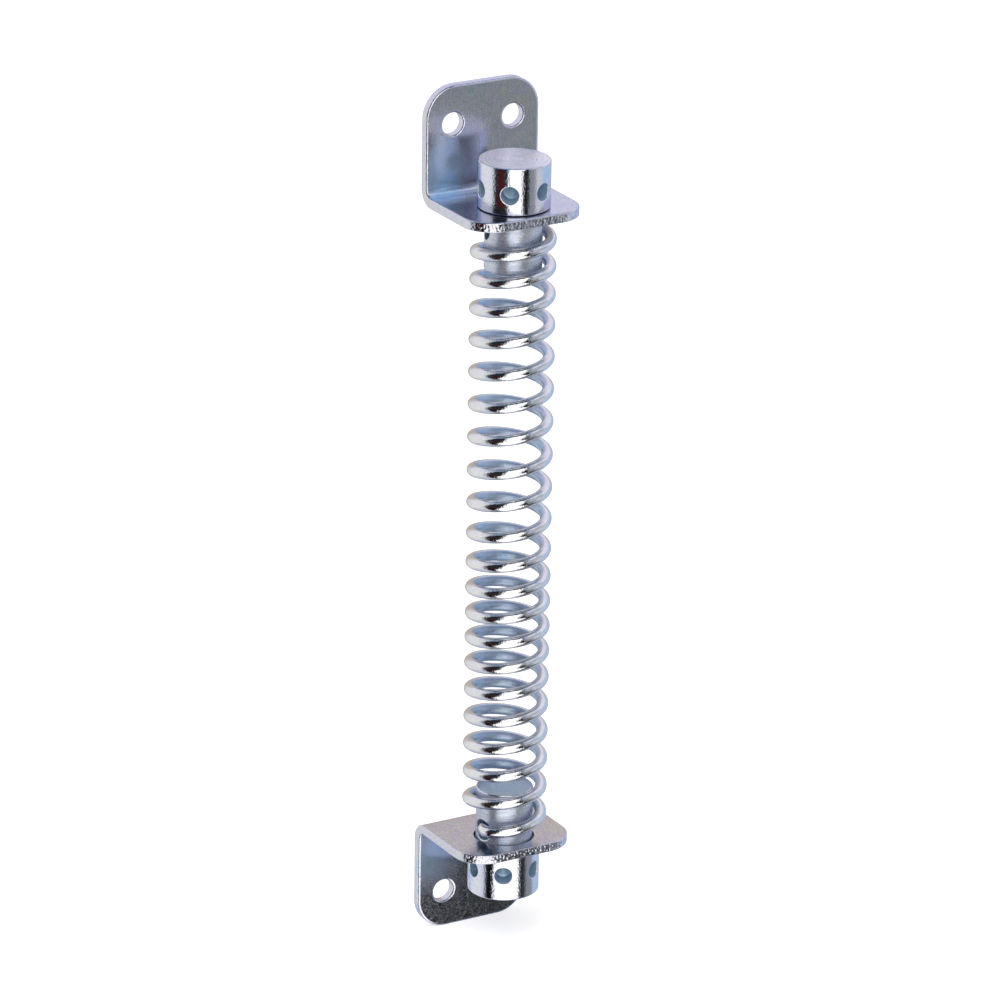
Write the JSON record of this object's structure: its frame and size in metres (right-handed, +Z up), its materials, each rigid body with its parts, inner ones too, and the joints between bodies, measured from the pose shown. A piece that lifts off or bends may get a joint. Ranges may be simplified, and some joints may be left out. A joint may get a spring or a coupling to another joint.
{
  "type": "gate spring closer",
  "caption": "Torsion spring gate closer: a right-hand coil between two turned adjusters with bar holes, each turning in the flange of a bent screw-on bracket.",
  "frame": {"origin": "centre of the upper bracket's two screw holes, on the face that meets the post", "axes": "+Z up along the spring, +Y out of the screwed faces into the post and gate, +X along the two screw holes"},
  "size_m": [0.0384, 0.035, 0.273],
  "materials": {
    "bracket_steel": "zinc plated strip, satin",
    "adjuster_steel": "turned, bright zinc plated",
    "spring_wire": "drawn wire, bright zinc plated"
  },
  "bodies": {
    "upper_bracket": {"upper_bracket": "bracket_steel"},
    "upper_adjuster": {"upper_adjuster": "adjuster_steel"},
    "lower_adjuster": {"lower_adjuster": "adjuster_steel", "spring": "spring_wire"},
    "lower_bracket": {"lower_bracket": "bracket_steel"}
  },
  "joints": [
    {"name": "upper_adjuster_turn", "type": "hinge", "parent": "upper_bracket", "child": "upper_adjuster", "pos_m": [0, -0.022, -0.0213], "axis": [0, 0, 1], "continuous": true},
    {"name": "spring_twist", "type": "hinge", "parent": "upper_adjuster", "child": "lower_adjuster", "pos_m": [0, -0.022, -0.1245], "axis": [0, 0, -1], "range_deg": [0, 150], "stiffness_Nm_per_rad": 1.15, "deforming": ["spring"]},
    {"name": "lower_bracket_turn", "type": "hinge", "parent": "lower_adjuster", "child": "lower_bracket", "pos_m": [0, -0.022, -0.2277], "axis": [0, 0, 1], "continuous": true}
  ]
}
